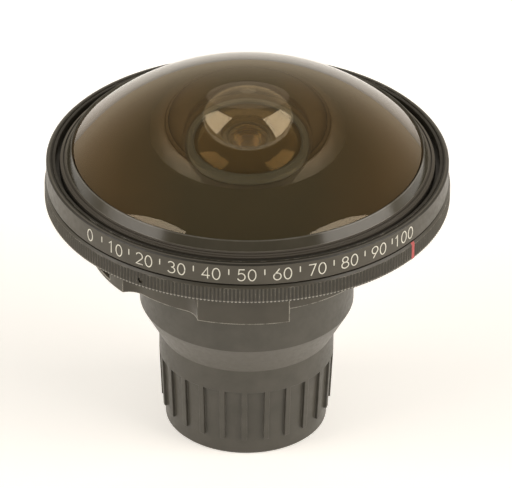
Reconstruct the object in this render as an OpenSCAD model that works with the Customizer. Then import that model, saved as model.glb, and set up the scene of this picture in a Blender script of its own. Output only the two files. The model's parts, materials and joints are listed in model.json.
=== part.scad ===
// Fisheye lens standing on its deep rear cap.
// Origin: centre of the cap's base. +Z runs along the optical axis, towards the dome.
// Bearings are in degrees, 0 at the front (-Y), growing towards +X.

/* [Front glass] */
// Radius of the dome surface
dome_r = 57; // [55:0.5:62]
// Edge radius of the dome
front_r = 39.9; // [39:0.1:41.5]
// Thickness of the front element at the dome's edge
front_edge_t = 2.65; // [2.4:0.05:3.2]
// Width of the stepped foot round the front element
front_foot = 0.7; // [0.6:0.05:0.9]
// Thickness of that foot
front_foot_t = 1.2; // [0.8:0.1:1.4]
// Radius of the hollow behind the dome
hollow_r = 19.4; // [19.1:0.1:19.8]
// Thickness of the front element at its centre
front_centre_t = 2; // [1.6:0.1:2.6]
// Radius of the second element's front surface
second_r = 40; // [34:1:50]
// Edge radius of the second element
second_edge_r = 16.6; // [16.2:0.1:16.8]
// Thickness of the second element at its edge
second_edge_t = 0.8; // [0.7:0.05:0.9]
// Radius of the second element's hollow rear
second_hollow_r = 11; // [10.5:0.1:12]
// Thickness of the second element at its centre
second_centre_t = 1.4; // [1.2:0.1:1.8]
// Edge radius of the third group
third_r = 7.5; // [7:0.1:8]
// Edge thickness of each of its two elements
third_t = 1.5; // [1.2:0.1:1.7]
// Radius of the third group's cemented surface
third_cement_r = 18; // [14:1:30]

/* [Head] */
// Wall of the front retaining ring at its foot
retainer_wall = 2.2; // [2:0.1:2.6]
// Height of the front retaining ring above the dome's edge
retainer_rise = 0.2; // [0.1:0.05:0.4]
// Gap between the dome's edge and the retaining ring
retainer_gap = 0.35; // [0.3:0.05:0.4]
// Width of the smooth bevel on the retaining ring
bevel_w = 1.1; // [0.9:0.05:1.3]
// Height of that bevel
bevel_h = 2.35; // [2:0.05:2.6]
// Number of grooves outside the bevel
retainer_grooves = 2; // [1:1:3]
// Depth of the grooves
groove_depth = 0.3; // [0.1:0.05:0.5]
// Width of the trough inside the name ring
trough_w = 1.1; // [0.5:0.1:1.5]
// Wall of the name ring at its lip
name_wall = 2.1; // [1.5:0.1:3]
// Height of the name ring
name_h = 5.25; // [4.75:0.05:5.5]
// Chamfer on the name ring's upper edge
name_chamfer = 0.35; // [0.2:0.05:0.8]
// Gap between the name ring and the knurled ring
shadow_gap = 0.35; // [0.25:0.05:0.8]
// Height of the front cell, from its lower edge to the glass seat
cell_h = 7.4; // [7.2:0.1:8.5]
// Height of the neck that the front retaining ring screws on
neck_h = 1.8; // [1.5:0.1:2.2]
// Thickness of the cell's plate under the front element
plate_t = 2.2; // [2:0.1:2.6]
// Outer wall of the cell
cell_wall = 2; // [1.5:0.1:3]
// Wall of the cell's central tube round the second element
tube_wall = 2.3; // [1.6:0.1:3]
// Width of the second element's retaining ring
second_ring_w = 2.4; // [2:0.1:2.5]
// Radius of a boss that joins the cell to the deck
boss_r = 2.2; // [1.8:0.1:2.6]
// Height of the chamber for the filter turret
chamber_h = 2.8; // [2.6:0.1:3.6]

/* [Selector] */
// How far the knurled ring stands out past the name ring
knurl_step = 0.4; // [0.2:0.05:0.8]
// Wall of the knurled ring
selector_wall = 2; // [1.8:0.1:2.6]
// Height of the knurled ring
selector_h = 4.5; // [4.2:0.1:4.8]
// Height of the smooth bevel above the knurls
knurl_bevel_h = 0.62; // [0.4:0.02:0.8]
// Width of that bevel
knurl_bevel_w = 0.5; // [0.4:0.05:0.7]
// Number of knurls
knurl_count = 332; // [240:4:360]
// Depth of the knurls
knurl_depth = 0.3; // [0.15:0.05:0.4]
// Bearing of the index line
index_bearing = 54; // [40:1:70]
// Width of the index line's groove
index_w = 1.2; // [0.6:0.1:1.4]
// Bearing of the first of the three set screws
set_screw_bearing = -31; // [-50:1:-20]
// Radius of a set screw
set_screw_r = 0.7; // [0.5:0.1:0.8]
// Height of the selector gear
gear_h = 2.4; // [2.2:0.1:2.4]
// Module of the gear teeth
gear_module = 1; // [0.98:0.01:1.02]
// Teeth of the selector gear
selector_teeth = 68; // [66:1:70]
// Teeth of the filter turret
turret_teeth = 44; // [42:1:46]
// Thickness of the filter turret
turret_t = 2; // [1.9:0.1:2.1]
// Radius of the turret's axle
axle_r = 2; // [1.5:0.1:2.5]
// Clear radius of a filter
filter_r = 4.5; // [3.5:0.1:4.8]
// Width of the ledge that a filter rests on
filter_ledge = 0.7; // [0.5:0.1:0.9]
// Thickness of a filter
filter_t = 1; // [0.8:0.1:1]

/* [Iris and grip ring] */
// Outer radius of the main barrel
barrel_r = 29.3; // [28.8:0.1:31]
// Wall of the main barrel
barrel_wall = 3.5; // [3:0.1:4]
// Length of the main barrel below the deck
barrel_h = 8.9; // [8.6:0.1:10]
// Thickness of the deck under the head
deck_t = 1.1; // [1:0.1:2]
// How far the deck stays inside the knurled ring
deck_inset = 1.4; // [1:0.1:2]
// Wall of the plain part of the grip ring
grip_wall = 2.2; // [2.1:0.1:2.6]
// How far the grips stand out
grip_proud = 5.2; // [4:0.1:6]
// Angle that one lobe of a grip covers
lobe_angle = 33; // [28:1:34]
// Angle of the scoop between two lobes
scoop_angle = 32.5; // [28:0.5:36]
// Depth of the scoop
scoop_depth = 2.7; // [2:0.1:3.2]
// Radius of the fillet at each end of the scoop
scoop_fillet = 4.8; // [4:0.1:6]
// Bearing of the plain end of the front grip
grip_bearing = 15.4; // [5:0.2:25]
// Height of the grip ring's foot above the mount's face
grip_lift = 0.75; // [0.5:0.05:1.2]
// Thickness of the flange left under the cut-out lobe
lobe_flange_t = 0.8; // [0.6:0.1:1.5]
// Opening of the iris plate
iris_r = 4.2; // [3.8:0.1:4.4]
// Width of an iris blade
blade_w = 4; // [3.6:0.1:4.1]
// Thickness of an iris blade
blade_t = 0.2; // [0.15:0.01:0.22]
// Height from one blade to the next
blade_pitch = 0.35; // [0.32:0.01:0.38]
// Radius of the circle of the blades' pivots
pivot_r = 10; // [9.8:0.1:10.4]
// Radius of a blade's studs
stud_r = 0.5; // [0.4:0.05:0.6]
// Travel of the grip ring, wide open to closed
aperture_travel = 48; // [40:1:50]
// Turn of a blade for each degree of the grip ring
blade_ratio = 0.5; // [0.4:0.05:0.55]
// Thickness of the cam ring
cam_t = 1.6; // [1.4:0.1:1.8]
// Radius of the drive pin
drive_pin_r = 0.6; // [0.4:0.05:0.65]

/* [Mount and tail] */
// Radius of the bayonet's spigot
spigot_r = 21.9; // [21.5:0.1:22.5]
// Length of the spigot behind the flange
spigot_l = 5.6; // [5:0.1:6]
// How far a bayonet lug stands out
lug_proud = 1.5; // [1.2:0.1:1.8]
// Thickness of a bayonet lug
lug_t = 1.6; // [1.4:0.1:2]
// Angle that a bayonet lug covers
lug_angle = 60; // [50:1:62]
// Thickness of the mount's flange
mount_t = 2.4; // [2.2:0.1:3]
// How far the flange reaches under the grip ring
flange_lip = 1; // [0.7:0.1:1.2]
// Number of mount screws
mount_screws_n = 5; // [3:1:6]
// Radius of a mount screw
mount_screw_r = 0.8; // [0.6:0.1:1]
// Outer radius of the tail tube
tail_r = 15.8; // [15:0.1:16.2]
// Wall of the tail tube
tail_wall = 2.8; // [2.5:0.1:3.2]
// Length of the tail tube below its flange
tail_l = 42.5; // [42:0.5:45]
// Thickness of the tail's flange
tail_flange_t = 1.5; // [1.2:0.1:1.6]
// Lip that carries the rearmost group
tail_lip = 2.4; // [1.5:0.1:3]
// Thickness of the rearmost group at its edge
rear_group_t = 8; // [7:0.5:9]
// Length of the rear spacer tube
rear_spacer_l = 11; // [9:0.5:12]
// Thickness of the middle group at its edge
middle_group_t = 7; // [6:0.5:8]
// Length of the front spacer tube
front_spacer_l = 5; // [4:0.5:6]
// Thickness of the fourth element
fourth_t = 4; // [3.5:0.1:4.4]
// Radius of the rear groups' curved surfaces
rear_curve_r = 24; // [22:1:30]

/* [Rear cap] */
// Thickness of the cap's floor
cap_floor_t = 2; // [1.5:0.1:3]
// Gap between the cap's floor and the tail
tail_gap = 3; // [2:0.1:4]
// Gap between the cap's wall and the tail
cap_clear = 1.1; // [0.8:0.1:1.4]
// Wall of the cap's cup at its foot
cup_wall = 1.9; // [1.2:0.1:2]
// How much wider the cup is under the ribbed band's top
cup_draft = 0.8; // [0.3:0.1:1]
// Height of the smooth foot band
foot_h = 4.4; // [3:0.1:6]
// Height of the ribbed band
rib_h = 13.4; // [10:0.1:14]
// Number of ribs
rib_count = 24; // [16:1:30]
// Width of a rib
rib_w = 1.2; // [1:0.1:2]
// How far a rib stands out
rib_proud = 0.7; // [0.5:0.1:1.2]
// Height of the smooth band above the ribs
band_h = 6; // [5:0.1:7]
// Height of the shoulder up to the skirt
shoulder_h = 7.9; // [7:0.1:9]
// Wall of the skirt
skirt_wall = 1.25; // [1:0.05:2]

/* [Clearances] */
// Radial clearance of pieces that turn on each other
run_clear = 0.08; // [0.05:0.01:0.1]
// Clearance of pieces that are seated or screwed together
seat_clear = 0.05; // [0.03:0.01:0.08]
// Gap between faces that pass each other
face_gap = 0.12; // [0.1:0.01:0.2]
// Gap at the cap's rim
rim_gap = 0.1; // [0.08:0.01:0.2]

/* [Hidden] */
$fn = 128;
eps = 0.5;

// Heights, stacked from the cap's base
tail_z = cap_floor_t + tail_gap;
tail_flange_z = tail_z + tail_l;
barrel_z = tail_flange_z + tail_flange_t;
flange_z = barrel_z - mount_t;
cap_h = flange_z - rim_gap;
deck_z = barrel_z + barrel_h;
deck_top = deck_z + deck_t;
cell_z = deck_top + chamber_h;
seat_z = cell_z + cell_h;
neck_z = seat_z - neck_h;
plate_z = seat_z - plate_t;
selector_z = deck_top + face_gap;
selector_top = selector_z + selector_h;
name_z = selector_top + shadow_gap;
name_top = name_z + name_h;

// Radii of the head, from the front element outwards
foot_r = front_r + front_foot;
neck_r = foot_r + seat_clear;
retainer_in_r = neck_r + seat_clear;
retainer_r = retainer_in_r + retainer_wall;
cell_r = retainer_r + seat_clear;
name_in_r = cell_r + seat_clear;
trough_r = retainer_r + trough_w;
name_r = trough_r + name_wall;
selector_r = name_r + knurl_step;
selector_in_r = selector_r - selector_wall;
guide_r = selector_in_r - run_clear;
deck_r = selector_r - deck_inset;

// Front glass
dome_z = seat_z + front_edge_t - sqrt(pow(dome_r, 2) - pow(front_r, 2));
hollow_z = dome_z + dome_r - front_centre_t - hollow_r;
hollow_rim_r = sqrt(pow(hollow_r, 2) - pow(seat_z - hollow_z, 2));
seat_land = 1;
seat_relief = 0.1;
retainer_lip_r = front_r + retainer_gap;
retainer_land = 0.15;
retainer_top = seat_z + front_edge_t + retainer_rise;
bevel_foot_r = retainer_lip_r + retainer_land + bevel_w;
bevel_foot_z = retainer_top - bevel_h;
ledge_drop = 0.4;
groove_share = 0.5;
name_edge = 0.1;
name_groove_w = 0.35;
name_groove_in = 0.6;

// Second element, its pocket and its ring
second_lip = 0.6;
second_ring_in_r = second_edge_r - second_lip;
second_ring_r = second_ring_in_r + second_ring_w;
second_pocket_r = second_edge_r + seat_clear;
tube_r = second_pocket_r + tube_wall;
bowl_drop = 0.3;
bowl_margin = 0.2;
ring_chamfer = 0.5;
second_ring_rise = 0.3;
second_ring_top = seat_z + second_ring_rise;
second_ring_t = 1.85;
second_ledge_z = second_ring_top - second_ring_t;
second_z = second_ledge_z - sqrt(pow(second_r, 2) - pow(second_ring_in_r, 2));
second_top = second_z + second_r;
second_seat_z = second_z + sqrt(pow(second_r, 2) - pow(second_edge_r, 2)) - second_edge_t;
second_seat_w = 0.7;
second_relief = 0.3;
second_hollow_z = second_top - second_centre_t - second_hollow_r;

// Third group, loaded from below
third_lip = 0.8;
cement_t = 0.03;
third_sag = 0.4;
third_ring_w = 1;
third_bore_r = third_r + seat_clear;
third_ring_t = 0.8;
third_z = cell_z + third_ring_t;
third_top = third_z + 2 * third_t;

// Filter turret and gears
pressure_angle = 20;
backlash = 0.12;
addendum = 0.9;
dedendum = 1.25;
turret_offset = gear_module * (selector_teeth - turret_teeth) / 2;
turret_z = deck_top + (chamber_h - turret_t) / 2;
filter_seat_r = filter_r + filter_ledge;
filter_n = 6;
filter_floor_t = 0.5;
filter_z = turret_z + filter_floor_t;
filter_ring_t = 0.4;
gear_z = selector_z + face_gap;
axle_seat = 2.2;
axle_l = deck_t + chamber_h + axle_seat;
screw_r = 0.9;
screw_head_r = 1.6;
screw_head_t = 1;
screw_slot_w = 0.4;
screw_grip = 4.5;
screw_gap = 0.3;
screw_turns = [-65, -25, 25, 65];

// Grip ring, on the main barrel
barrel_in_r = barrel_r - barrel_wall;
grip_in_r = barrel_r + run_clear;
flange_r = grip_in_r + flange_lip;
grip_r = grip_in_r + grip_wall;
lobe_r = grip_r + grip_proud;
grip_z = flange_z + grip_lift;
grip_top = deck_z - face_gap;
grip_rebate_z = barrel_z + face_gap;
grip_angle = 2 * lobe_angle + scoop_angle;
scoop_floor_r = lobe_r - scoop_depth;
scoop_sink = 0.03;
fillet_pcr = scoop_floor_r + scoop_fillet - scoop_sink;
fillet_lead = acos((pow(lobe_r, 2) + pow(fillet_pcr, 2) - pow(scoop_fillet, 2)) / (2 * lobe_r * fillet_pcr));
cut_lobe_angle = 25;
cut_over = 1;

// Iris stack, on the iris plate
iris_plate_t = 0.8;
iris_n = 6;
blades_z = barrel_z + iris_plate_t + face_gap;
cam_z = blades_z + iris_n * blade_pitch + face_gap;
cam_gap = 0.3;
cam_r = barrel_in_r - cam_gap;
blade_gap = 0.15;
blade_in_r = iris_r + blade_gap;
blade_out_r = blade_in_r + blade_w;
blade_span = 115;
blade_root = 15;
drive_stud_out = 0.3;
drive_stud_r = pivot_r + drive_stud_out;
drive_stud_angle = -18;
drive_stud = drive_stud_r * [cos(drive_stud_angle), sin(drive_stud_angle)];
stud_gap = 0.1;
spacer_w = 3;
pin_bearing = 100;
pin_z = cam_z + cam_t / 2;
pin_grip = 3;
pin_cover = 0.5;
pin_in_r = cam_r - pin_grip;
pin_l = grip_r - pin_cover - pin_in_r;

// Screws of the head, on a circle inside the iris keeper
screw_pcr = barrel_in_r - spacer_w - screw_head_r - screw_gap;

// Mount and tail
lug_r = spigot_r + lug_proud;
lug_turns = [0, 120, 240];
lug_z = flange_z - spigot_l;
tail_bore_r = tail_r - tail_wall;
tail_flange_w = 2.2;
tail_flange_r = tail_r + tail_flange_w;
tail_hole_r = tail_r + seat_clear;
mount_screw_pcr = barrel_r - barrel_wall / 2;
element_r = tail_bore_r - seat_clear;
tail_lip_t = 1.5;
rear_group_z = tail_z + tail_lip_t;
rear_spacer_z = rear_group_z + rear_group_t;
middle_group_z = rear_spacer_z + rear_spacer_l;
front_spacer_z = middle_group_z + middle_group_t;
fourth_z = front_spacer_z + front_spacer_l;
tail_ring_t = 1.5;
tail_ring_w = 3;
tail_chamfer = 0.4;
spacer_wall = 1.5;
rear_cement = 0.7;
apex_flat = 0.01;
mount_head_t = 1;
mount_grip = 2.5;

// Rear cap
cup_in_r = tail_r + cap_clear;
cup_r = cup_in_r + cup_wall;
band_z = foot_h + rib_h;
shoulder_z = band_z + band_h;
skirt_z = shoulder_z + shoulder_h;
core_top_r = cup_r + cup_draft;
band_r = core_top_r + rib_proud;
lug_gap = 0.15;
skirt_in_r = lug_r + lug_gap;
skirt_r = skirt_in_r + skirt_wall;
tab_t = 1.4;
tab_angle = 50;
tab_gap = 0.2;
tab_lift = 0.4;
rib_root = 0.3;
rib_turn = -1;
cap_edge = 0.4;

function polar(r, a) = r * [cos(a), sin(a)];
function turned(p, a) = [p.x * cos(a) - p.y * sin(a), p.x * sin(a) + p.y * cos(a)];

// Involute gear outline: radii from low to high on each flank, widened by extra (mm at the pitch circle)
function involute(a) = tan(a) * 180 / PI - a;
function flank(teeth, r, extra) =
    let (pitch = gear_module * teeth / 2)
    let (base = pitch * cos(pressure_angle))
    90 / teeth + extra / pitch * 180 / PI + involute(pressure_angle) - involute(acos(min(1, base / r)));
function gear_outline(teeth, low, high, extra, first) =
    let (radii = [for (i = [0:3]) low + (high - low) * i / 3])
    [for (t = [0:teeth - 1])
        let (c = first + 360 * t / teeth)
        each concat(
            [for (r = radii) polar(r, c - flank(teeth, r, extra))],
            [for (i = [3:-1:0]) polar(radii[i], c + flank(teeth, radii[i], extra))])];

// Path of a blade's drive stud, seen from the cam ring when the ring has turned by a
function stud_path(a) =
    turned([pivot_r, 0] + turned(drive_stud - [pivot_r, 0], a * blade_ratio), -a);
function path_side(a, w) =
    let (d = stud_path(a + 0.5) - stud_path(a - 0.5))
    stud_path(a) + w * [-d.y, d.x] / norm(d);

// A solid of revolution from an outline of [radius, height] points
module turned_part(outline) {
    rotate_extrude() polygon(outline);
}

module tube(r_out, r_in, z, h) {
    difference() {
        translate([0, 0, z]) cylinder(r = r_out, h = h);
        translate([0, 0, z - eps]) cylinder(r = r_in, h = h + 2 * eps);
    }
}

module rod(r, z, h) {
    translate([0, 0, z]) cylinder(r = r, h = h);
}

module ball(r, z) {
    translate([0, 0, z]) sphere(r = r);
}

// A wedge that covers bearings from low to high, out to radius r
module wedge(r, low, high, z, h) {
    reach = 1.5 * r;
    mid = (low + high) / 2;
    translate([0, 0, z]) linear_extrude(h) polygon([
        [0, 0],
        polar(reach, low - 90),
        polar(reach, mid - 90),
        polar(reach, high - 90)]);
}

// Head

module front_element() {
    color("#4a4438", 0.5) difference() {
        union() {
            intersection() {
                ball(dome_r, dome_z);
                rod(front_r, seat_z, dome_r);
            }
            rod(foot_r, seat_z, front_foot_t);
        }
        ball(hollow_r, hollow_z);
    }
}

// A point on the grooved ledge, from its outer edge (0) to the bevel's foot (1)
function ledge_point(t) =
    [retainer_r, bevel_foot_z - ledge_drop] + t * [bevel_foot_r - retainer_r, ledge_drop];

module front_retaining_ring() {
    color("#242321") turned_part(concat(
        [[retainer_in_r, neck_z + seat_clear],
         [retainer_r, neck_z + seat_clear]],
        [for (i = [0:retainer_grooves - 1]) each [
            ledge_point(i / retainer_grooves) - [0, groove_depth],
            ledge_point((i + groove_share) / retainer_grooves) - [0, groove_depth],
            ledge_point((i + groove_share) / retainer_grooves),
            ledge_point((i + 1) / retainer_grooves)]],
        [[retainer_lip_r + retainer_land, retainer_top],
         [retainer_lip_r, retainer_top],
         [retainer_lip_r, seat_z + front_foot_t + face_gap],
         [retainer_in_r, seat_z + front_foot_t + face_gap]]));
}

module name_ring() {
    c = name_chamfer;
    groove_r = trough_r + name_groove_in;
    color("#2b2a27") turned_part([
        [name_in_r, name_z],
        [name_r - name_edge, name_z],
        [name_r, name_z + name_edge],
        [name_r, name_top - c],
        [name_r - c, name_top],
        [groove_r + name_groove_w, name_top],
        [groove_r + name_groove_w, name_top - groove_depth],
        [groove_r, name_top - groove_depth],
        [groove_r, name_top],
        [trough_r, name_top],
        [trough_r, neck_z],
        [name_in_r, neck_z]]);
}

module front_cell() {
    color("#262522") difference() {
        union() {
            turned_part([
                [third_bore_r, cell_z],
                [tube_r, cell_z],
                [tube_r, plate_z],
                [guide_r - cell_wall, plate_z],
                [guide_r - cell_wall, cell_z],
                [guide_r, cell_z],
                [guide_r, name_z - face_gap],
                [cell_r, name_z - face_gap],
                [cell_r, neck_z],
                [neck_r, neck_z],
                [neck_r, seat_z],
                [neck_r - seat_land, seat_z],
                [neck_r - seat_land, seat_z - seat_relief],
                [hollow_rim_r + bowl_margin, seat_z - seat_relief],
                [second_ring_r + seat_clear, seat_z - bowl_drop],
                [second_ring_r + seat_clear, second_ledge_z],
                [second_pocket_r, second_ledge_z],
                [second_pocket_r, second_seat_z],
                [second_pocket_r - second_seat_w, second_seat_z],
                [second_pocket_r - second_seat_w, second_seat_z - second_relief],
                [third_bore_r - third_lip, second_seat_z - second_relief],
                [third_bore_r - third_lip, third_top],
                [third_bore_r, third_top]]);
            head_screw_places() rod(boss_r, deck_top, plate_z - deck_top + eps);
        }
        translate([0, turret_offset, deck_top]) cylinder(r = axle_r, h = axle_l - deck_t);
        head_screw_places() rod(screw_r, deck_top - eps, screw_grip + 2 * eps);
    }
}

module second_element() {
    color("#5a5444", 0.5) difference() {
        intersection() {
            ball(second_r, second_z);
            rod(second_edge_r, second_seat_z, second_edge_r);
        }
        ball(second_hollow_r, second_hollow_z);
    }
}

module second_retaining_ring() {
    low = second_ledge_z + seat_clear;
    color("#1d1c1a") turned_part([
        [second_ring_in_r, low],
        [second_ring_r, low],
        [second_ring_r, second_ring_top - ring_chamfer],
        [second_ring_r - ring_chamfer, second_ring_top],
        [second_ring_in_r + ring_chamfer, second_ring_top],
        [second_ring_in_r, second_ring_top - ring_chamfer]]);
}

module third_front_element() {
    color("#8f8a78", 0.5) difference() {
        rod(third_r, third_z, 2 * third_t);
        ball(third_cement_r + cement_t, third_z + third_t - third_cement_r);
        ball(2 * third_cement_r, third_top - third_sag + 2 * third_cement_r);
    }
}

module third_rear_element() {
    color("#a09a86", 0.5) intersection() {
        rod(third_r, third_z, 2 * third_t);
        ball(third_cement_r, third_z + third_t - third_cement_r);
    }
}

module third_retaining_ring() {
    color("#1d1c1a") tube(third_r, third_r - third_ring_w, cell_z, third_ring_t);
}

// Barrel, turret and selector

module main_barrel() {
    slot_h = 2 * (drive_pin_r + run_clear);
    slot_over = 4;
    bevel_w = 1;
    bevel_h = 0.7;
    color("#2a2926") difference() {
        turned_part([
            [barrel_in_r, barrel_z],
            [barrel_r, barrel_z],
            [barrel_r, deck_z],
            [deck_r - bevel_w, deck_z],
            [deck_r, deck_z + bevel_h],
            [deck_r, deck_top],
            [third_bore_r, deck_top],
            [third_bore_r, deck_z],
            [barrel_in_r, deck_z]]);
        intersection() {
            tube(barrel_r + eps, barrel_in_r - eps, pin_z - slot_h / 2, slot_h);
            wedge(barrel_r, pin_bearing - slot_over, pin_bearing + aperture_travel + slot_over,
                pin_z - slot_h, 2 * slot_h);
        }
        translate([0, turret_offset, deck_z - eps]) cylinder(r = axle_r, h = deck_t + 2 * eps);
        head_screw_places() rod(screw_r, deck_z - eps, deck_t + 2 * eps);
        mount_screw_places() rod(mount_screw_r, barrel_z - eps, mount_grip + 2 * eps);
    }
}

module screw(r, head_r, head_t, l) {
    difference() {
        union() {
            cylinder(r = r, h = l);
            translate([0, 0, -head_t]) cylinder(r = head_r, h = head_t);
        }
        translate([-head_r, -screw_slot_w / 2, -head_t - eps])
            cube([2 * head_r, screw_slot_w, head_t / 2 + eps]);
    }
}

// Four places on the open side of the turret
module head_screw_places() {
    for (turn = screw_turns) {
        rotate([0, 0, turn]) translate([0, -screw_pcr, 0]) children();
    }
}

module head_screws() {
    color("#8a857b") head_screw_places()
        translate([0, 0, deck_z]) screw(screw_r, screw_head_r, screw_head_t, deck_t + screw_grip);
}

module turret_axle() {
    color("#b9b4a8") translate([0, turret_offset, deck_z]) cylinder(r = axle_r, h = axle_l);
}

module knurled_band(z, h) {
    outline = [for (i = [0:2 * knurl_count - 1])
        polar(selector_r - (i % 2) * knurl_depth, (i + 0.5) * 180 / knurl_count)];
    difference() {
        translate([0, 0, z]) linear_extrude(h) polygon(outline);
        rod(selector_in_r, z - eps, h + 2 * eps);
    }
}

module selector_ring() {
    edge = 0.3;
    land = 0.05;
    band_top = selector_top - knurl_bevel_h;
    color("#2b2a27") difference() {
        union() {
            turned_part([
                [selector_in_r, selector_z],
                [selector_r - knurl_depth - land, selector_z],
                [selector_r - knurl_depth - land, band_top],
                [selector_r - land, band_top],
                [selector_r - knurl_bevel_w, selector_top],
                [selector_in_r, selector_top]]);
            knurled_band(selector_z + edge, band_top - selector_z - edge);
        }
        rotate([0, 0, index_bearing])
            translate([-index_w / 2, -selector_r - eps, selector_z - eps])
                cube([index_w, knurl_depth + 2 * land + eps, selector_h + 2 * eps]);
        set_screw_places() cylinder(r = set_screw_r, h = selector_wall + 2 * eps);
    }
}

module selector_gear() {
    pitch = gear_module * selector_teeth / 2;
    outline = gear_outline(selector_teeth, pitch - gear_module, pitch + dedendum * gear_module, backlash, 90);
    color("#a8925a") difference() {
        rod(selector_in_r - seat_clear, gear_z, gear_h);
        translate([0, 0, gear_z - eps]) linear_extrude(gear_h + 2 * eps) polygon(outline);
    }
}

// Three radial places on the knurled ring, with +Z pointing outwards
module set_screw_places() {
    for (turn = [0, 120, 240]) {
        rotate([0, 0, set_screw_bearing + turn])
            translate([0, -selector_in_r + eps, gear_z + gear_h - set_screw_r]) rotate([90, 0, 0]) children();
    }
}

module selector_set_screws() {
    sunk = 0.6;
    color("#55524b") set_screw_places()
        translate([0, 0, eps]) cylinder(r = set_screw_r, h = selector_wall - sunk);
}

module filter_places() {
    translate([0, turret_offset, 0]) for (i = [0:filter_n - 1]) {
        rotate([0, 0, 360 * i / filter_n]) translate([0, -turret_offset, 0]) children();
    }
}

module filter_turret() {
    pitch = gear_module * turret_teeth / 2;
    low = pitch - dedendum * gear_module;
    high = pitch + addendum * gear_module;
    color("#b59c5e") difference() {
        translate([0, turret_offset, turret_z]) linear_extrude(turret_t)
            polygon(gear_outline(turret_teeth, low, high, 0, 90));
        translate([0, turret_offset, 0]) rod(axle_r + run_clear, turret_z - eps, turret_t + 2 * eps);
        filter_places() {
            rod(filter_r, turret_z - eps, turret_t + 2 * eps);
            rod(filter_seat_r, filter_z, turret_t);
        }
    }
}

// The filter at place i of the turret; place 0 is in the light path
module filter_glass(i) {
    translate([0, turret_offset, 0]) rotate([0, 0, 360 * i / filter_n])
        translate([0, -turret_offset, 0]) rod(filter_seat_r - seat_clear, filter_z, filter_t);
}

module filter_clear() {
    color("#dfe6e4", 0.5) filter_glass(0);
}

module filter_yellow() {
    color("#e8d24a", 0.5) filter_glass(1);
}

module filter_deep_yellow() {
    color("#e0ac28", 0.5) filter_glass(2);
}

module filter_orange() {
    color("#d9701e", 0.5) filter_glass(3);
}

module filter_red() {
    color("#b02420", 0.5) filter_glass(4);
}

module filter_green() {
    color("#5c8f45", 0.5) filter_glass(5);
}

module filter_rings() {
    color("#3a3833") filter_places()
        tube(filter_seat_r - seat_clear, filter_r, filter_z + filter_t, filter_ring_t);
}

// Iris and grip ring

module iris_plate() {
    color("#33312d") difference() {
        tube(barrel_in_r - seat_clear, iris_r, barrel_z, iris_plate_t);
        for (i = [0:iris_n - 1]) {
            rotate([0, 0, 360 * i / iris_n]) translate([pivot_r, 0, barrel_z - eps])
                cylinder(r = stud_r + run_clear, h = iris_plate_t + 2 * eps);
        }
    }
}

module iris_spacer() {
    low = barrel_z + iris_plate_t;
    color("#3a3833") tube(barrel_in_r - seat_clear, barrel_in_r - spacer_w, low, cam_z - face_gap - low);
}

module iris_keeper() {
    low = cam_z + cam_t + face_gap;
    color("#3a3833") tube(barrel_in_r - seat_clear, barrel_in_r - spacer_w, low, deck_z - low);
}

module iris_blade(i) {
    low = blades_z + i * blade_pitch;
    foot = barrel_z + stud_gap;
    inner = [for (s = [0:12]) polar(blade_in_r, blade_span * s / 12)];
    outer = [for (s = [12:-1:0]) polar(blade_out_r, blade_span * s / 12)];
    color("#1a1a19") rotate([0, 0, 360 * i / iris_n]) {
        translate([0, 0, low]) linear_extrude(blade_t) polygon(concat(inner, outer));
        translate([0, 0, low]) linear_extrude(blade_t) polygon([
            [blade_in_r, 0],
            drive_stud - [0, 2 * stud_r],
            drive_stud + [2 * stud_r, 0],
            [pivot_r + 2 * stud_r, 0],
            polar(blade_out_r, blade_root)]);
        translate([pivot_r, 0, low]) cylinder(r = 2 * stud_r, h = blade_t);
        translate([pivot_r, 0, foot]) cylinder(r = stud_r, h = low + blade_t - foot);
        translate([drive_stud.x, drive_stud.y, low]) cylinder(r = 2 * stud_r, h = blade_t);
        translate([drive_stud.x, drive_stud.y, low]) cylinder(r = stud_r, h = cam_z + cam_t - stud_gap - low);
    }
}

module iris_cam_ring() {
    half_w = stud_r + run_clear;
    margin = (stud_r + cam_gap) / drive_stud_r * 180 / PI;
    steps = 18;
    angles = [for (s = [0:steps]) -margin + (aperture_travel + 2 * margin) * s / steps];
    left = [for (a = angles) path_side(a, half_w)];
    right = [for (s = [steps:-1:0]) path_side(angles[s], -half_w)];
    color("#8d7c4c") difference() {
        tube(cam_r, blade_out_r, cam_z, cam_t);
        for (i = [0:iris_n - 1]) {
            rotate([0, 0, 360 * i / iris_n]) translate([0, 0, cam_z - eps])
                linear_extrude(cam_t + 2 * eps) polygon(concat(left, right));
        }
        drive_pin_place() cylinder(r = drive_pin_r, h = pin_l);
    }
}

// Radial place of the drive pin, +Z pointing outwards from its inner end
module drive_pin_place() {
    rotate([0, 0, pin_bearing]) translate([0, -pin_in_r, pin_z]) rotate([90, 0, 0]) children();
}

module aperture_drive_pin() {
    color("#b9b4a8") drive_pin_place() cylinder(r = drive_pin_r, h = pin_l);
}

// The cut between two lobes, at bearing 0: a round floor that ends in two fillets
module scoop(z, h) {
    half = scoop_angle / 2 - fillet_lead;
    difference() {
        wedge(lobe_r, -half, half, z, h);
        rod(scoop_floor_r, z - eps, h + 2 * eps);
    }
    for (turn = [-half, half]) {
        rotate([0, 0, turn]) translate([0, -fillet_pcr, 0]) rod(scoop_fillet, z, h);
    }
}

// One grip, ending at bearing 0: a lobe, a scoop and a lobe whose upper part is cut away
module grip() {
    h = grip_top - grip_z;
    difference() {
        intersection() {
            rod(lobe_r, grip_z, h);
            wedge(lobe_r, -grip_angle, 0, grip_z, h);
        }
        rotate([0, 0, -lobe_angle - scoop_angle / 2]) scoop(grip_z - eps, h + 2 * eps);
        wedge(lobe_r, -grip_angle - cut_over, -grip_angle + cut_lobe_angle, grip_z + lobe_flange_t, h);
    }
}

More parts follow.
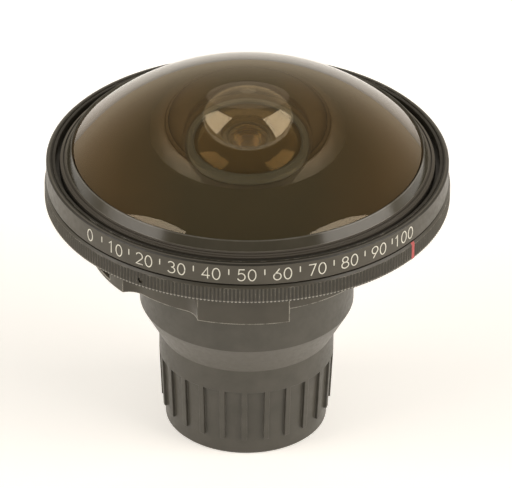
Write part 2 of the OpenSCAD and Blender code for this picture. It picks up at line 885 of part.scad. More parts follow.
module aperture_ring() {
    h = grip_top - grip_z;
    color("#2f2d2a") difference() {
        union() {
            rod(grip_r, grip_z, h);
            for (turn = [0, 180]) {
                rotate([0, 0, grip_bearing + turn]) grip();
            }
        }
        rod(grip_in_r, grip_z - eps, h + 2 * eps);
        rod(flange_r + run_clear, grip_z - eps, grip_rebate_z - grip_z + eps);
        drive_pin_place() cylinder(r = drive_pin_r, h = pin_l);
    }
}

// Mount and tail

module mount_screw_places() {
    for (i = [0:mount_screws_n - 1]) {
        rotate([0, 0, 360 * i / mount_screws_n]) translate([0, -mount_screw_pcr, 0]) children();
    }
}

module mount_ring() {
    color("#a9a59b") difference() {
        union() {
            turned_part([
                [tail_hole_r, lug_z],
                [spigot_r, lug_z],
                [spigot_r, flange_z],
                [flange_r, flange_z],
                [flange_r, barrel_z],
                [tail_flange_r + seat_clear, barrel_z],
                [tail_flange_r + seat_clear, tail_flange_z],
                [tail_hole_r, tail_flange_z]]);
            for (turn = lug_turns) intersection() {
                tube(lug_r, spigot_r - eps, lug_z, lug_t);
                wedge(lug_r, turn - lug_angle / 2, turn + lug_angle / 2, lug_z, lug_t);
            }
        }
        mount_screw_places() {
            rod(mount_screw_r, flange_z - eps, mount_t + 2 * eps);
            rod(2 * mount_screw_r, flange_z - eps, mount_head_t + eps);
        }
    }
}

module mount_screws() {
    head_r = 2 * mount_screw_r - stud_gap;
    head_t = mount_head_t - stud_gap;
    thread_l = mount_t - mount_head_t + mount_grip;
    color("#b9b4a8") mount_screw_places()
        translate([0, 0, flange_z + mount_head_t]) screw(mount_screw_r, head_r, head_t, thread_l);
}

module tail_tube() {
    color("#262522") turned_part([
        [tail_bore_r - tail_lip, tail_z],
        [tail_r - tail_chamfer, tail_z],
        [tail_r, tail_z + tail_chamfer],
        [tail_r, tail_flange_z],
        [tail_flange_r, tail_flange_z],
        [tail_flange_r, barrel_z],
        [tail_bore_r, barrel_z],
        [tail_bore_r, rear_group_z],
        [tail_bore_r - tail_lip, rear_group_z]]);
}

module tail_retaining_ring() {
    color("#1d1c1a") tube(element_r, element_r - tail_ring_w, fourth_z + fourth_t, tail_ring_t);
}

module fourth_element() {
    color("#a7b0a4", 0.5) intersection() {
        rod(element_r, fourth_z, fourth_t);
        ball(rear_curve_r, fourth_z + fourth_t - rear_curve_r + apex_flat);
    }
}

module front_spacer() {
    color("#33312d") tube(element_r, element_r - spacer_wall, front_spacer_z, front_spacer_l);
}

module middle_front_element() {
    color("#a7b0a4", 0.5) difference() {
        rod(element_r, middle_group_z, middle_group_t);
        ball(rear_curve_r + cement_t, middle_group_z + middle_group_t / 2 - rear_curve_r);
    }
}

module middle_rear_element() {
    color("#8f9a94", 0.5) intersection() {
        rod(element_r, middle_group_z, middle_group_t);
        ball(rear_curve_r, middle_group_z + middle_group_t / 2 - rear_curve_r);
    }
}

module rear_spacer() {
    color("#33312d") tube(element_r, element_r - spacer_wall, rear_spacer_z, rear_spacer_l);
}

module rear_front_element() {
    color("#a7b0a4", 0.5) difference() {
        rod(element_r, rear_group_z, rear_group_t);
        ball(rear_curve_r + cement_t, rear_group_z + rear_group_t * rear_cement - rear_curve_r);
    }
}

module rear_rear_element() {
    color("#8f9a94", 0.5) intersection() {
        rod(element_r, rear_group_z, rear_group_t);
        ball(rear_curve_r, rear_group_z + rear_group_t * rear_cement - rear_curve_r);
    }
}

// Rear cap

module cap_body() {
    turned_part([
        [0, 0],
        [cup_r - cap_edge, 0],
        [cup_r, cap_edge],
        [core_top_r, band_z],
        [band_r, band_z],
        [band_r, shoulder_z],
        [skirt_r - cap_edge, skirt_z - cap_edge],
        [skirt_r, skirt_z + cap_edge],
        [skirt_r, cap_h],
        [skirt_in_r, cap_h],
        [skirt_in_r, skirt_z + skirt_wall],
        [cup_in_r, shoulder_z],
        [cup_in_r, cap_floor_t],
        [0, cap_floor_t]]);
}

module cap_ribs() {
    for (i = [0:rib_count - 1]) {
        rotate([0, 0, 360 * i / rib_count - 90 + rib_turn]) rotate([90, 0, 0])
            translate([0, 0, -rib_w / 2]) linear_extrude(rib_w) polygon([
                [cup_in_r + rib_root, foot_h],
                [band_r - cup_draft * rib_h / band_z, foot_h],
                [band_r, band_z],
                [cup_in_r + rib_root, band_z + rib_root]]);
    }
}

module cap_tabs() {
    tab_z = lug_z + lug_t + tab_lift;
    for (turn = lug_turns) intersection() {
        tube(skirt_in_r + skirt_wall / 2, spigot_r + tab_gap, tab_z, tab_t);
        wedge(skirt_r, turn + 60 - tab_angle / 2, turn + 60 + tab_angle / 2, tab_z, tab_t);
    }
}

module rear_cap() {
    color("#35332f") union() {
        cap_body();
        cap_ribs();
        cap_tabs();
    }
}

front_element();
front_retaining_ring();
name_ring();
front_cell();
second_element();
second_retaining_ring();
third_front_element();
third_rear_element();
third_retaining_ring();
main_barrel();
head_screws();
turret_axle();
selector_ring();
selector_gear();
selector_set_screws();
filter_turret();
filter_clear();
filter_yellow();
filter_deep_yellow();
filter_orange();
filter_red();
filter_green();
filter_rings();
iris_plate();
iris_spacer();
iris_keeper();
aperture_ring();
iris_cam_ring();
aperture_drive_pin();
iris_blade(0);  // iris_blade_1
iris_blade(1);  // iris_blade_2
iris_blade(2);  // iris_blade_3
iris_blade(3);  // iris_blade_4
iris_blade(4);  // iris_blade_5
iris_blade(5);  // iris_blade_6
mount_ring();
mount_screws();
tail_tube();
tail_retaining_ring();
fourth_element();
front_spacer();
middle_front_element();
middle_rear_element();
rear_spacer();
rear_front_element();
rear_rear_element();
rear_cap();
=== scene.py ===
import json
import math

import bpy
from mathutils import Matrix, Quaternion, Vector

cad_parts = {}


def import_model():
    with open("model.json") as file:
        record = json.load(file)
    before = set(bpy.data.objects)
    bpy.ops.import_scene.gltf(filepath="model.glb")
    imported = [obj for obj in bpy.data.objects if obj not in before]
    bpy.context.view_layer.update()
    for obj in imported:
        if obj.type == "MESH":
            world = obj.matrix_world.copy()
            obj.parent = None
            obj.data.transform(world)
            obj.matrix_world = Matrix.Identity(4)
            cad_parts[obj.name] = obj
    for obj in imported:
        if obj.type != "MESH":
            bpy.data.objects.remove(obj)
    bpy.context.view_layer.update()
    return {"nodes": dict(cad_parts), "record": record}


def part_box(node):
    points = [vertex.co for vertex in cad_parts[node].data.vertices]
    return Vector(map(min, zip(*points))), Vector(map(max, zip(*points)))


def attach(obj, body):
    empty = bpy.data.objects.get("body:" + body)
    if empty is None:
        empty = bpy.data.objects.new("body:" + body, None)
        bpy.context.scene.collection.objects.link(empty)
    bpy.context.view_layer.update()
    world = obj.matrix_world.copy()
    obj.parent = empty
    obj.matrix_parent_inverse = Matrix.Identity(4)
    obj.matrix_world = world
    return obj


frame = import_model()

MM = 0.001
NODES = frame["nodes"]


# Node helpers

def add(tree, kind, inputs=None, **settings):
    """Adds a shader node; an input given as a socket is linked, any other value is set."""
    node = tree.nodes.new(kind)
    for key, value in settings.items():
        setattr(node, key, value)
    for key, value in (inputs or {}).items():
        if isinstance(value, bpy.types.NodeSocket):
            tree.links.new(value, node.inputs[key])
        else:
            node.inputs[key].default_value = value
    return node


def calc(tree, operation, *values):
    """One step of arithmetic."""
    node = add(tree, "ShaderNodeMath", dict(enumerate(values)), operation=operation)
    return node.outputs[0]


def vector(tree, operation, *values):
    """One step of vector arithmetic, as a node."""
    return add(tree, "ShaderNodeVectorMath", dict(enumerate(values)), operation=operation)


def component(tree, value, axis):
    return add(tree, "ShaderNodeSeparateXYZ", {0: value}).outputs[axis]


def normal_of(tree):
    return add(tree, "ShaderNodeNewGeometry").outputs["Normal"]


# Places of the colour sockets on a mix node
MIX_FACTOR, MIX_A, MIX_B, MIX_RESULT = 0, 6, 7, 2


def blend(tree, fac, a, b):
    """Mixes two colours."""
    node = add(tree, "ShaderNodeMix", {MIX_FACTOR: fac, MIX_A: a, MIX_B: b}, data_type="RGBA")
    return node.outputs[MIX_RESULT]


def span(tree, value, low, high, to_low=0.0, to_high=1.0):
    """Maps low..high to to_low..to_high, clamped."""
    node = add(tree, "ShaderNodeMapRange", {0: value, 1: low, 2: high, 3: to_low, 4: to_high})
    return node.outputs[0]


def rgb(r, g, b):
    return (r, g, b, 1.0)


# The part of a noise's values that most masks use, and the turn of the normal that counts as an edge
MIDDLE = (0.3, 0.7)
EDGE_TURN = (0.03, 0.2)
BEVEL_SAMPLES = 8


class Look:
    """A node material with the coordinates and masks that most surfaces here use."""

    def __init__(self, name):
        self.mat = bpy.data.materials.new(name)
        self.mat.use_nodes = True
        self.tree = self.mat.node_tree
        self.bsdf = self.tree.nodes["Principled BSDF"]
        self.coord = add(self.tree, "ShaderNodeTexCoord").outputs["Object"]
        flat = vector(self.tree, "MULTIPLY", self.coord, (1.0, 1.0, 0.0)).outputs[0]
        self.radius = vector(self.tree, "LENGTH", flat).outputs["Value"]
        self.height = component(self.tree, self.coord, "Z")

    def noise(self, scale, detail=2.0, rough=0.5):
        node = add(self.tree, "ShaderNodeTexNoise",
                   {"Vector": self.coord, "Scale": scale, "Detail": detail, "Roughness": rough})
        return node.outputs["Fac"]

    def edges(self, radius):
        """A mask that is 1 on sharp edges; keeps their rounded normal for the grain."""
        self.round = add(self.tree, "ShaderNodeBevel", {"Radius": radius}, samples=BEVEL_SAMPLES).outputs[0]
        dot = vector(self.tree, "DOT_PRODUCT", self.round, normal_of(self.tree)).outputs["Value"]
        return span(self.tree, calc(self.tree, "SUBTRACT", 1.0, dot), *EDGE_TURN)

    def grain(self, scale, depth, strength):
        """Fine surface grain as a bump, on the edges that edges() rounded."""
        height = self.noise(scale, 3.0)
        bump = add(self.tree, "ShaderNodeBump",
                   {"Strength": strength, "Distance": depth, "Height": height, "Normal": self.round})
        self.tree.links.new(bump.outputs[0], self.bsdf.inputs["Normal"])

    def set(self, **values):
        """Sets or links inputs of the shader, with _ for a space in the name."""
        for key, value in values.items():
            socket = self.bsdf.inputs[key.replace("_", " ")]
            if isinstance(value, bpy.types.NodeSocket):
                self.tree.links.new(value, socket)
            else:
                socket.default_value = value


def dress(node, look):
    """Gives a CAD node its material."""
    mesh = NODES[node].data
    mesh.materials.clear()
    mesh.materials.append(look.mat)


def new_piece(name, verts, faces, mat):
    """Makes an object from points and faces and links it to the scene."""
    mesh = bpy.data.meshes.new(name)
    mesh.from_pydata(verts, [], faces)
    mesh.materials.append(mat)
    piece = bpy.data.objects.new(name, mesh)
    bpy.context.scene.collection.objects.link(piece)
    return piece


# Materials

BARE = rgb(0.52, 0.49, 0.42)
DARK = rgb(0.052, 0.045, 0.031)
LIGHT = rgb(0.069, 0.060, 0.043)
COAL_DARK = rgb(0.026, 0.025, 0.022)
COAL_LIGHT = rgb(0.040, 0.038, 0.033)
GREY_DARK = rgb(0.052, 0.058, 0.054)
GREY_LIGHT = rgb(0.068, 0.076, 0.072)
# Olive paint on the dome's back; the paler one adds painted sheen towards its sides.
OLIVE_DARK = rgb(0.032, 0.027, 0.012)
OLIVE_SHEEN = rgb(0.066, 0.043, 0.017)

# Tints of the reflections on coated glass
STRAW = rgb(1.0, 0.88, 0.68)
AMBER = rgb(1.0, 0.70, 0.36)
ICE = rgb(0.42, 0.45, 0.50)
VIOLET = rgb(0.86, 0.76, 1.0)
PLAIN = rgb(1.0, 1.0, 1.0)

GLASS_ROUGH = 0.01
PAINT_ROUGH = 0.6
# How far a surface may lie from the place that a mask names
SKIN = 0.03 * MM


def upright(tree):
    """The upward part of the surface's direction."""
    return component(tree, normal_of(tree), "Z")


def cover(look, mask, colour):
    """Lays a colour over the base colour where the mask is 1."""
    plain = look.bsdf.inputs["Base Color"].links[0].from_socket
    look.set(Base_Color=blend(look.tree, mask, plain, colour))


def enamel(name, dark, light, wear, rough=(0.34, 0.48), edge=0.22):
    """Satin black finish with slight mottling, rubbed bright along its edges, which at high wear are also
    painted highlights; edge is in millimetres.
    """
    bare_metal = 0.3
    look = Look(name)
    tree = look.tree
    base = blend(tree, span(tree, look.noise(160.0, 4.0), *MIDDLE), dark, light)
    rub_from = 0.62 - 0.25 * wear
    rub_to = 0.72 - 0.2 * wear
    rub = span(tree, look.noise(420.0, 5.0, 0.65), rub_from, rub_to)
    # Bright edges: worn metal, and at high wear also painted edge highlights.
    wear_and_edge_light = calc(tree, "MULTIPLY", look.edges(edge * MM), rub)
    look.set(Base_Color=blend(tree, wear_and_edge_light, base, BARE))
    look.set(Metallic=calc(tree, "MULTIPLY", wear_and_edge_light, bare_metal))
    look.set(Roughness=span(tree, look.noise(700.0, 3.0), *MIDDLE, *rough))
    look.grain(3200.0, depth=0.02 * MM, strength=0.35)
    return look


def glass(name, tint, tint_2, coat=PLAIN, ior=1.5):
    """Polished, coated glass with a faint, cloudy difference in its tint."""
    look = Look(name)
    cloud = span(look.tree, look.noise(60.0), 0.35, 0.65)
    look.set(Base_Color=blend(look.tree, cloud, tint, tint_2))
    look.set(Roughness=GLASS_ROUGH, IOR=ior, Transmission_Weight=1.0, Specular_Tint=coat)
    return look


def metal(name, dark, light, rough=(0.25, 0.4)):
    """Turned metal with fine streaks round its axis."""
    look = Look(name)
    tree = look.tree
    ring = add(tree, "ShaderNodeCombineXYZ", {0: look.radius, 1: look.height})
    noise = add(tree, "ShaderNodeTexNoise", {"Vector": ring.outputs[0], "Scale": 5000.0, "Detail": 2.0})
    streak = noise.outputs["Fac"]
    mottle = calc(tree, "MULTIPLY", streak, look.noise(300.0, 3.0))
    look.set(Base_Color=blend(tree, span(tree, mottle, 0.12, 0.4), dark, light))
    look.set(Roughness=span(tree, streak, *MIDDLE, *rough))
    look.set(Metallic=1.0)
    return look


def plastic(name, dark, light):
    """Moulded satin plastic with a fine grain, paler on its edges, with painted floor light where it faces
    down.
    """
    edge_colour = rgb(0.16, 0.15, 0.13)
    edge_share = 0.5
    rough = (0.36, 0.5)
    painted_floor_light = rgb(0.135, 0.124, 0.104)
    floor_light_share = 0.7
    look = Look(name)
    tree = look.tree
    base = blend(tree, span(tree, look.noise(220.0, 5.0), *MIDDLE), dark, light)
    edge = calc(tree, "MULTIPLY", look.edges(0.3 * MM), span(tree, look.noise(500.0, 3.0), 0.4, 0.6))
    look.set(Base_Color=blend(tree, calc(tree, "MULTIPLY", edge, edge_share), base, edge_colour))
    look.set(Roughness=span(tree, look.noise(900.0, 3.0), *MIDDLE, *rough))
    look.grain(2600.0, depth=0.03 * MM, strength=0.4)
    # Painted light: faces that point down are paler, as if lit by the bright floor below.
    cover(look, span(tree, upright(tree), -0.1, -0.3, 0.0, floor_light_share), painted_floor_light)
    return look


def painted(look, mask, dark, light, fade):
    """Covers the masked part of a glass with matt paint, dark to light along fade."""
    cloud_depth = 0.08
    tree = look.tree
    cloud = span(tree, look.noise(130.0, 3.0), *MIDDLE, -cloud_depth, cloud_depth)
    cover(look, mask, blend(tree, calc(tree, "ADD", fade, cloud), dark, light))
    look.set(Transmission_Weight=calc(tree, "SUBTRACT", 1.0, mask))
    look.set(Specular_IOR_Level=0.2)
    look.set(Roughness=span(tree, mask, 0.0, 1.0, GLASS_ROUGH, PAINT_ROUGH))
    return look


def front_glass():
    """The dome: amber glass with a coated hollow; its back and edge are painted, paler at the sides with
    painted sheen.
    """
    dome_r = 57.0 * MM
    foot_w = 0.7 * MM
    sheen_from = 12.0 * MM
    sheen_to = 30.0 * MM
    low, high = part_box("front_element")
    look = glass("dome_glass", rgb(0.89, 0.73, 0.48), rgb(0.85, 0.69, 0.45), STRAW, ior=1.6)
    tree = look.tree
    graze = add(tree, "ShaderNodeLayerWeight", {"Blend": 0.5}).outputs["Facing"]
    outside = blend(tree, span(tree, graze, 0.1, 0.5), STRAW, AMBER)
    centre = (0.0, 0.0, high.z - dome_r)
    reach = vector(tree, "DISTANCE", look.coord, centre).outputs["Value"]
    inner = span(tree, reach, dome_r - 2 * SKIN, dome_r - 4 * SKIN)
    look.set(Specular_Tint=blend(tree, inner, outside, ICE))
    back = calc(tree, "LESS_THAN", look.height, low.z + SKIN)
    rim = calc(tree, "GREATER_THAN", look.radius, high.x - foot_w - SKIN)
    mask = calc(tree, "MAXIMUM", back, rim)
    hollow = calc(tree, "SUBTRACT", inner, mask)
    look.set(Coat_Weight=hollow, Coat_IOR=1.86, Coat_Roughness=GLASS_ROUGH)
    # Painted sheen: the paint grows paler towards the sides, standing in for the dome's reflections of its
    # bright surroundings.
    side = calc(tree, "ABSOLUTE", component(tree, look.coord, "X"))
    return painted(look, mask, OLIVE_DARK, OLIVE_SHEEN, span(tree, side, sheen_from, sheen_to))


def second_glass():
    """The second element: its flat back and its edge are painted."""
    low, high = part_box("second_element")
    look = glass("second_glass", rgb(0.93, 0.86, 0.68), rgb(0.90, 0.84, 0.66), STRAW)
    back = calc(look.tree, "LESS_THAN", look.height, low.z + SKIN)
    rim = calc(look.tree, "GREATER_THAN", look.radius, high.x - SKIN)
    mask = calc(look.tree, "MAXIMUM", back, rim)
    fade = look.noise(90.0)
    return painted(look, mask, rgb(0.046, 0.035, 0.014), rgb(0.062, 0.047, 0.021), fade)


def retainer_enamel():
    """The front retaining ring: glossy bevel, grooved ledge made paler with painted sheen, and a paler,
    uneven inner edge and bevel foot.
    """
    lip_r = 40.50 * MM
    foot_r = 41.50 * MM
    foot_half = 0.06 * MM
    dark, light = rgb(0.030, 0.026, 0.016), rgb(0.042, 0.037, 0.025)
    look = enamel("retainer_black", dark, light, wear=0.3, rough=(0.12, 0.18), edge=0.06)
    tree = look.tree
    # Painted sheen: the ledge beyond the bevel's foot is paler than the enamel, standing in for the lamps'
    # light on its grooves.
    cover(look, span(tree, look.radius, foot_r, foot_r + SKIN), rgb(0.075, 0.066, 0.054))
    # The inner edge and a thin line at the bevel's foot are paler, unevenly.
    foot = calc(tree, "COMPARE", look.radius, foot_r, foot_half)
    pale_rims = calc(tree, "MAXIMUM", foot, calc(tree, "LESS_THAN", look.radius, lip_r))
    pale_rims = calc(tree, "MULTIPLY", pale_rims, span(tree, look.noise(300.0, 3.0), 0.3, 0.6, 0.5, 1.0))
    cover(look, pale_rims, rgb(0.10, 0.092, 0.075))
    return look


def name_enamel():
    """The name ring: painted shade darkens its top and chamfer, and a paler band runs along the top's outer
    edge.
    """
    edge_r = 45.30 * MM
    look = enamel("name_ring_enamel", DARK, LIGHT, wear=0.5)
    tree = look.tree
    up = upright(tree)
    # Painted shade: surfaces that face up are darker, as they catch little light.
    cover(look, span(tree, up, 0.4, 0.6), rgb(0.016, 0.014, 0.010))
    outer = calc(tree, "GREATER_THAN", look.radius, edge_r)
    edge = calc(tree, "MULTIPLY", outer, span(tree, up, 0.85, 0.95))
    cover(look, edge, rgb(0.090, 0.082, 0.066))
    return look


def knurled_enamel():
    """The knurled ring: painted shade in its grooves, and bare metal where the knurls end at its lower edge.
    """
    groove_in = 0.28 * MM
    crest_in = 0.04 * MM
    tip_from = 0.62 * MM
    tip_to = 0.34 * MM
    low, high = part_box("selector_ring")
    look = enamel("selector_ring_enamel", DARK, LIGHT, wear=0.5, edge=0.14)
    tree = look.tree
    crest = span(tree, look.radius, high.x - groove_in, high.x - crest_in)
    # Painted shade: the knurls' grooves are darker than their crests.
    cover(look, calc(tree, "SUBTRACT", 1.0, crest), rgb(0.040, 0.036, 0.027))
    tip = calc(tree, "MULTIPLY", crest, span(tree, look.height, low.z + tip_from, low.z + tip_to))
    tip = calc(tree, "MULTIPLY", tip, span(tree, look.noise(260.0, 3.0), 0.25, 0.5, 0.4, 1.0))
    cover(look, tip, rgb(0.62, 0.59, 0.52))
    return look


looks = {
    "inner_glass": glass("inner_glass", rgb(0.92, 0.88, 0.76), rgb(0.88, 0.85, 0.74), VIOLET),
    "clear_filter": glass("clear_filter", rgb(0.92, 0.94, 0.93), rgb(0.88, 0.91, 0.90)),
    "yellow_filter": glass("yellow_filter", rgb(0.92, 0.80, 0.14), rgb(0.88, 0.76, 0.12)),
    "deep_yellow_filter": glass("deep_yellow_filter", rgb(0.88, 0.58, 0.06), rgb(0.84, 0.54, 0.05)),
    "orange_filter": glass("orange_filter", rgb(0.85, 0.30, 0.03), rgb(0.80, 0.27, 0.02)),
    "red_filter": glass("red_filter", rgb(0.70, 0.04, 0.02), rgb(0.62, 0.03, 0.02)),
    "green_filter": glass("green_filter", rgb(0.30, 0.60, 0.16), rgb(0.26, 0.54, 0.14)),
    "matt_black": enamel("matt_black", COAL_DARK, COAL_LIGHT, wear=0.2, rough=(0.42, 0.58)),
    "black_enamel": enamel("black_enamel", DARK, LIGHT, wear=0.4),
    "brass": metal("brass", rgb(0.46, 0.33, 0.13), rgb(0.70, 0.53, 0.24)),
    "steel": metal("steel", rgb(0.36, 0.35, 0.33), rgb(0.58, 0.56, 0.53)),
    "chrome": metal("chrome", rgb(0.52, 0.51, 0.49), rgb(0.74, 0.73, 0.70), rough=(0.16, 0.28)),
    "blade_steel": metal("blade_steel", rgb(0.03, 0.03, 0.03), rgb(0.07, 0.07, 0.068), rough=(0.4, 0.55)),
    "cap_plastic": plastic("cap_plastic", rgb(0.058, 0.053, 0.041), rgb(0.077, 0.070, 0.056)),
    "front_glass": front_glass(),
}

slot_of = {part["node"]: part["material_slot"] for part in frame["record"]["subparts"]}
for name in NODES:
    dress(name, looks[slot_of[name]])
dress("second_element", second_glass())
dress("second_retaining_ring", enamel("ring_grey", GREY_DARK, GREY_LIGHT, wear=0.2, rough=(0.3, 0.4)))
dress("name_ring", name_enamel())
dress("selector_ring", knurled_enamel())
# The grip ring's bright edges are partly wear and partly painted highlights along its lobes.
dress("aperture_ring", enamel("grip_enamel", DARK, LIGHT, wear=1.0, edge=0.6))
dress("front_retaining_ring", retainer_enamel())
dress("selector_set_screws", enamel("screw_black", DARK, LIGHT, wear=0.2))

# Glass lets the lamps' light through to the pieces behind it
for name, slot in slot_of.items():
    if "glass" in slot or "filter" in slot:
        NODES[name].visible_shadow = False
        NODES[name].visible_diffuse = False


# Numerals and tick marks on the name ring

def arc(cx, cy, rx, ry, start, end, steps=14):
    """Points along an ellipse, from one angle to another in degrees."""
    turns = [math.radians(start + (end - start) * i / steps) for i in range(steps + 1)]
    return [(cx + rx * math.cos(a), cy + ry * math.sin(a)) for a in turns]


# Strokes of each digit in a cell DIGIT_W wide and 1 high, and the step from one digit to the next
DIGIT_W = 0.6
DIGIT_STEP = 0.82
DIGITS = {
    "0": [arc(0.30, 0.50, 0.29, 0.50, 90, 450, 24)],
    "1": [[(0.12, 0.80), (0.34, 1.00), (0.34, 0.00)]],
    "2": [arc(0.30, 0.71, 0.28, 0.29, 165, -40) + [(0.01, 0.0), (0.60, 0.0)]],
    "3": [arc(0.29, 0.76, 0.25, 0.24, 155, -90), arc(0.29, 0.27, 0.30, 0.27, 85, -155)],
    "4": [[(0.45, 0.00), (0.45, 1.00), (0.0, 0.29), (0.62, 0.29)]],
    "5": [[(0.54, 1.00), (0.12, 1.00), (0.07, 0.56)] + arc(0.28, 0.33, 0.30, 0.33, 125, -155)],
    "6": [[(0.46, 1.00), (0.06, 0.44)], arc(0.30, 0.31, 0.29, 0.31, 90, 450, 22)],
    "7": [[(0.02, 1.00), (0.58, 1.00), (0.20, 0.00)]],
    "8": [arc(0.30, 0.76, 0.24, 0.24, 90, 450, 20), arc(0.30, 0.27, 0.30, 0.27, 90, 450, 22)],
    "9": [[(0.14, 0.00), (0.54, 0.56)], arc(0.30, 0.69, 0.29, 0.31, 90, 450, 22)],
}

SAME_POINT = 1e-6
# The least cosine of a mitre, so that a sharp corner stays short
MITRE_LEAST = 0.5


def ribbon(path, half):
    """Left and right edge points of a stroke, and whether it is closed."""
    closed = math.dist(path[0], path[-1]) < SAME_POINT
    points = path[:-1] if closed else path
    count = len(points)
    sides = []
    for i, (x, y) in enumerate(points):
        before = points[i - 1] if closed or i > 0 else points[i]
        after = points[(i + 1) % count] if closed or i < count - 1 else points[i]
        a = Vector((x - before[0], y - before[1]))
        b = Vector((after[0] - x, after[1] - y))
        a = a.normalized() if a.length > 0 else b.normalized()
        b = b.normalized() if b.length > 0 else a
        normal = Vector((-(a.y + b.y), a.x + b.x)).normalized()
        reach = half / max(MITRE_LEAST, normal.dot(Vector((-a.y, a.x))))
        out_x, out_y = normal.x * reach, normal.y * reach
        sides.append(((x + out_x, y + out_y), (x - out_x, y - out_y)))
    return sides, closed


class Marks:
    """Thin raised strokes laid on a cylinder, collected in one mesh."""

    def __init__(self, radius, proud, sunk):
        self.low = radius - sunk
        self.high = radius + proud
        self.radius = radius
        self.verts = []
        self.faces = []

    def place(self, point, bearing, z, level):
        """A flat point wrapped on the cylinder at a level."""
        turn = math.radians(bearing) + point[0] / self.radius
        return (level * math.sin(turn), -level * math.cos(turn), z + point[1])

    def stroke(self, path, half, bearing, z):
        """One stroke as a closed band of four sides."""
        sides, closed = ribbon(path, half)
        first = len(self.verts)
        for left, right in sides:
            for point, level in ((left, self.high), (right, self.high), (right, self.low), (left, self.low)):
                self.verts.append(self.place(point, bearing, z, level))
        count = len(sides)
        for i in range(count if closed else count - 1):
            a = first + 4 * i
            b = first + 4 * ((i + 1) % count)
            for k in range(4):
                m = (k + 1) % 4
                self.faces.append((a + k, a + m, b + m, b + k))
        if not closed:
            last = first + 4 * (count - 1)
            self.faces.append((first + 3, first + 2, first + 1, first))
            self.faces.append((last, last + 1, last + 2, last + 3))

    def label(self, text, size, half, bearing, z):
        """A number, centred on a bearing."""
        step = DIGIT_STEP * size
        width = step * (len(text) - 1) + DIGIT_W * size
        for i, digit in enumerate(text):
            for path in DIGITS[digit]:
                points = [(x * size + i * step - width / 2, y * size) for x, y in path]
                self.stroke(points, half, bearing, z)

    def build(self, name, look):
        piece = new_piece(name, self.verts, self.faces, look.mat)
        piece.data.validate()
        piece.data.update()
        return piece


def paint(name, light, dark, wear):
    """Enamel paint rubbed into an engraving, with small losses where the noise passes wear."""
    loss_edge = 0.06
    look = Look(name)
    lost = span(look.tree, look.noise(1500.0, 3.0), wear, wear + loss_edge)
    look.set(Base_Color=blend(look.tree, lost, light, dark))
    look.set(Roughness=span(look.tree, look.noise(2500.0), *MIDDLE, 0.4, 0.6))
    return look


NUMERAL_H = 2.9 * MM
STROKE_HALF = 0.125 * MM
NUMERAL_STEP = 10
FIRST_BEARING = -50
LAST_NUMERAL = 100
name_low, name_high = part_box("name_ring")
numeral_z = name_low.z + 1.07 * MM
marks = Marks(name_high.x, proud=0.02 * MM, sunk=0.04 * MM)
tick = [(0.0, 0.5 * NUMERAL_H), (0.0, NUMERAL_H)]
for value in range(0, LAST_NUMERAL + 1, NUMERAL_STEP):
    marks.label(str(value), NUMERAL_H, STROKE_HALF, FIRST_BEARING + value, numeral_z)
for value in range(0, LAST_NUMERAL, NUMERAL_STEP):
    marks.stroke(tick, STROKE_HALF, FIRST_BEARING + value + NUMERAL_STEP / 2, numeral_z)
ivory = paint("numeral_paint", rgb(0.74, 0.72, 0.63), rgb(0.30, 0.28, 0.25), wear=0.64)
numerals = marks.build("ring_numerals", ivory)
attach(numerals, "lens")


# Red index line: in the knurled ring's groove, then over its bevel

def index_strip(name, look, outline, half, bearing):
    """A strip across the ring, from an outline of (radius, height) points."""
    verts = []
    for side in (-half, half):
        for r, z in outline:
            turn = math.radians(bearing) + side / r
            verts.append((r * math.sin(turn), -r * math.cos(turn), z))
    count = len(outline)
    faces = [(i, (i + 1) % count, count + (i + 1) % count, count + i) for i in range(count)]
    faces += [tuple(range(count - 1, -1, -1)), tuple(range(count, 2 * count))]
    return new_piece(name, verts, faces, look.mat)


selector_low, selector_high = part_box("selector_ring")
back_r = selector_high.x - 0.42 * MM
face_r = selector_high.x - 0.16 * MM
top_r = selector_high.x - 0.45 * MM
top_back_r = selector_high.x - 0.60 * MM
foot_z = selector_low.z + 0.12 * MM
back_z = selector_high.z - 0.62 * MM
face_z = back_z + 0.14 * MM
top_z = selector_high.z - 0.03 * MM
index_red = paint("index_red", rgb(0.43, 0.075, 0.072), rgb(0.20, 0.05, 0.05), wear=0.66)
index_outline = [
    (back_r, foot_z), (face_r, foot_z), (face_r, face_z),
    (top_r, top_z), (top_back_r, top_z), (top_back_r, back_z)]
index_line = index_strip("index_line", index_red, index_outline, half=0.56 * MM, bearing=54)
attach(index_line, "selector")


# Floor, light and camera

def floor():
    """A pale floor with a slight glow of its own for the camera and in the glass."""
    half = 6.0
    white = rgb(0.97, 0.95, 0.915)
    glow_level = 0.37
    mat = bpy.data.materials.new("floor")
    mat.use_nodes = True
    tree = mat.node_tree
    tree.nodes.clear()
    diffuse = add(tree, "ShaderNodeBsdfDiffuse", {"Color": white})
    path = add(tree, "ShaderNodeLightPath")
    seen = calc(tree, "MAXIMUM", path.outputs["Is Camera Ray"], path.outputs["Is Glossy Ray"])
    seen = calc(tree, "MAXIMUM", seen, path.outputs["Is Transmission Ray"])
    strength = calc(tree, "MULTIPLY", seen, glow_level)
    glow = add(tree, "ShaderNodeEmission", {"Color": white, "Strength": strength})
    both = add(tree, "ShaderNodeAddShader", {0: diffuse.outputs[0], 1: glow.outputs[0]})
    out = add(tree, "ShaderNodeOutputMaterial", {"Surface": both.outputs[0]})
    out.is_active_output = True
    corners = [(-half, -half, 0.0), (half, -half, 0.0), (half, half, 0.0), (-half, half, 0.0)]
    piece = new_piece("floor", corners, [(0, 1, 2, 3)], mat)


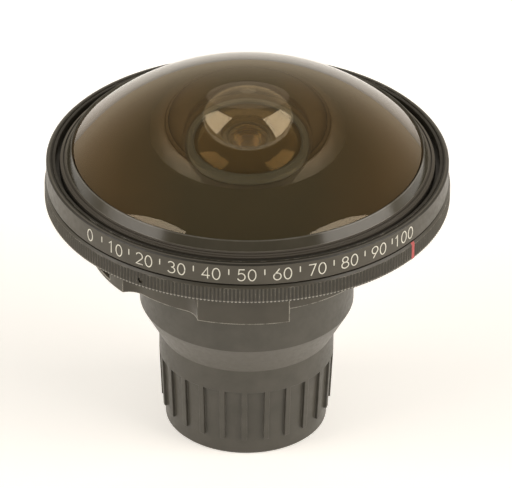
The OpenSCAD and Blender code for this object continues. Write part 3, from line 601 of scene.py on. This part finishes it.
def softbox(name, place, facing, width, height, radiance, shape="RECTANGLE"):
    """A soft lamp at a place, turned to face a direction."""
    lamp = bpy.data.lights.new(name, "AREA")
    lamp.shape = shape
    lamp.size = width
    lamp.size_y = height
    share = math.pi / 4 if shape == "ELLIPSE" else 1.0
    lamp.energy = radiance * math.pi * width * height * share
    lamp.color = (1.0, 0.94, 0.87)
    piece = bpy.data.objects.new(name, lamp)
    piece.location = place
    piece.rotation_euler = Vector(facing).to_track_quat("-Z", "Y").to_euler()
    bpy.context.scene.collection.objects.link(piece)


def world():
    """A white sky for the camera; as light it is dimmer overhead and in front, and warmer in reflections."""
    daylight = rgb(1.0, 0.965, 0.90)
    mirrored = rgb(0.91, 0.79, 0.61)
    sky = bpy.data.worlds.new("sky")
    bpy.context.scene.world = sky
    sky.use_nodes = True
    tree = sky.node_tree
    back = tree.nodes["Background"]
    way = add(tree, "ShaderNodeTexCoord").outputs["Generated"]
    high = span(tree, component(tree, way, "Z"), 0.1, 0.6, 1.0, 0.35)
    rear = span(tree, component(tree, way, "Y"), -0.6, 0.5, 0.8, 1.0)
    level = calc(tree, "MULTIPLY", high, rear)
    path = add(tree, "ShaderNodeLightPath")
    level = calc(tree, "MAXIMUM", level, path.outputs["Is Camera Ray"])
    tone = blend(tree, path.outputs["Is Glossy Ray"], daylight, mirrored)
    tree.links.new(tone, back.inputs["Color"])
    tree.links.new(level, back.inputs["Strength"])


def camera():
    """The photo's view: a long lens from the front, tilted down, with a slight roll."""
    roll_deg = 0.42
    lens = bpy.data.cameras.new("camera")
    lens.sensor_width = 36.0
    lens.lens = 441.15
    lens.clip_end = 50.0
    piece = bpy.data.objects.new("camera", lens)
    piece.location = (0.0, -1.2255, 0.8169)
    aim = Vector((0.00208, 0.00255, 0.04414))
    roll = Quaternion((0.0, 0.0, 1.0), math.radians(roll_deg))
    piece.rotation_euler = ((aim - piece.location).to_track_quat("-Z", "Y") @ roll).to_euler()
    bpy.context.scene.collection.objects.link(piece)
    bpy.context.scene.camera = piece


floor()
softbox("left_box", place=(-1.580, -0.279, 0.998), facing=(0.58, 0.81, 0.0),
        width=1.60, height=1.53, radiance=3.2)
softbox("right_box", place=(1.722, -0.252, 0.908), facing=(-0.59, 0.78, -0.19),
        width=2.02, height=1.50, radiance=3.5)
softbox("back_light", place=(0.0, 0.861, 0.755), facing=(0.0, -0.783, -0.622),
        width=0.445, height=0.44, radiance=0.45, shape="ELLIPSE")
world()
camera()
bpy.context.scene.view_settings.view_transform = "Standard"
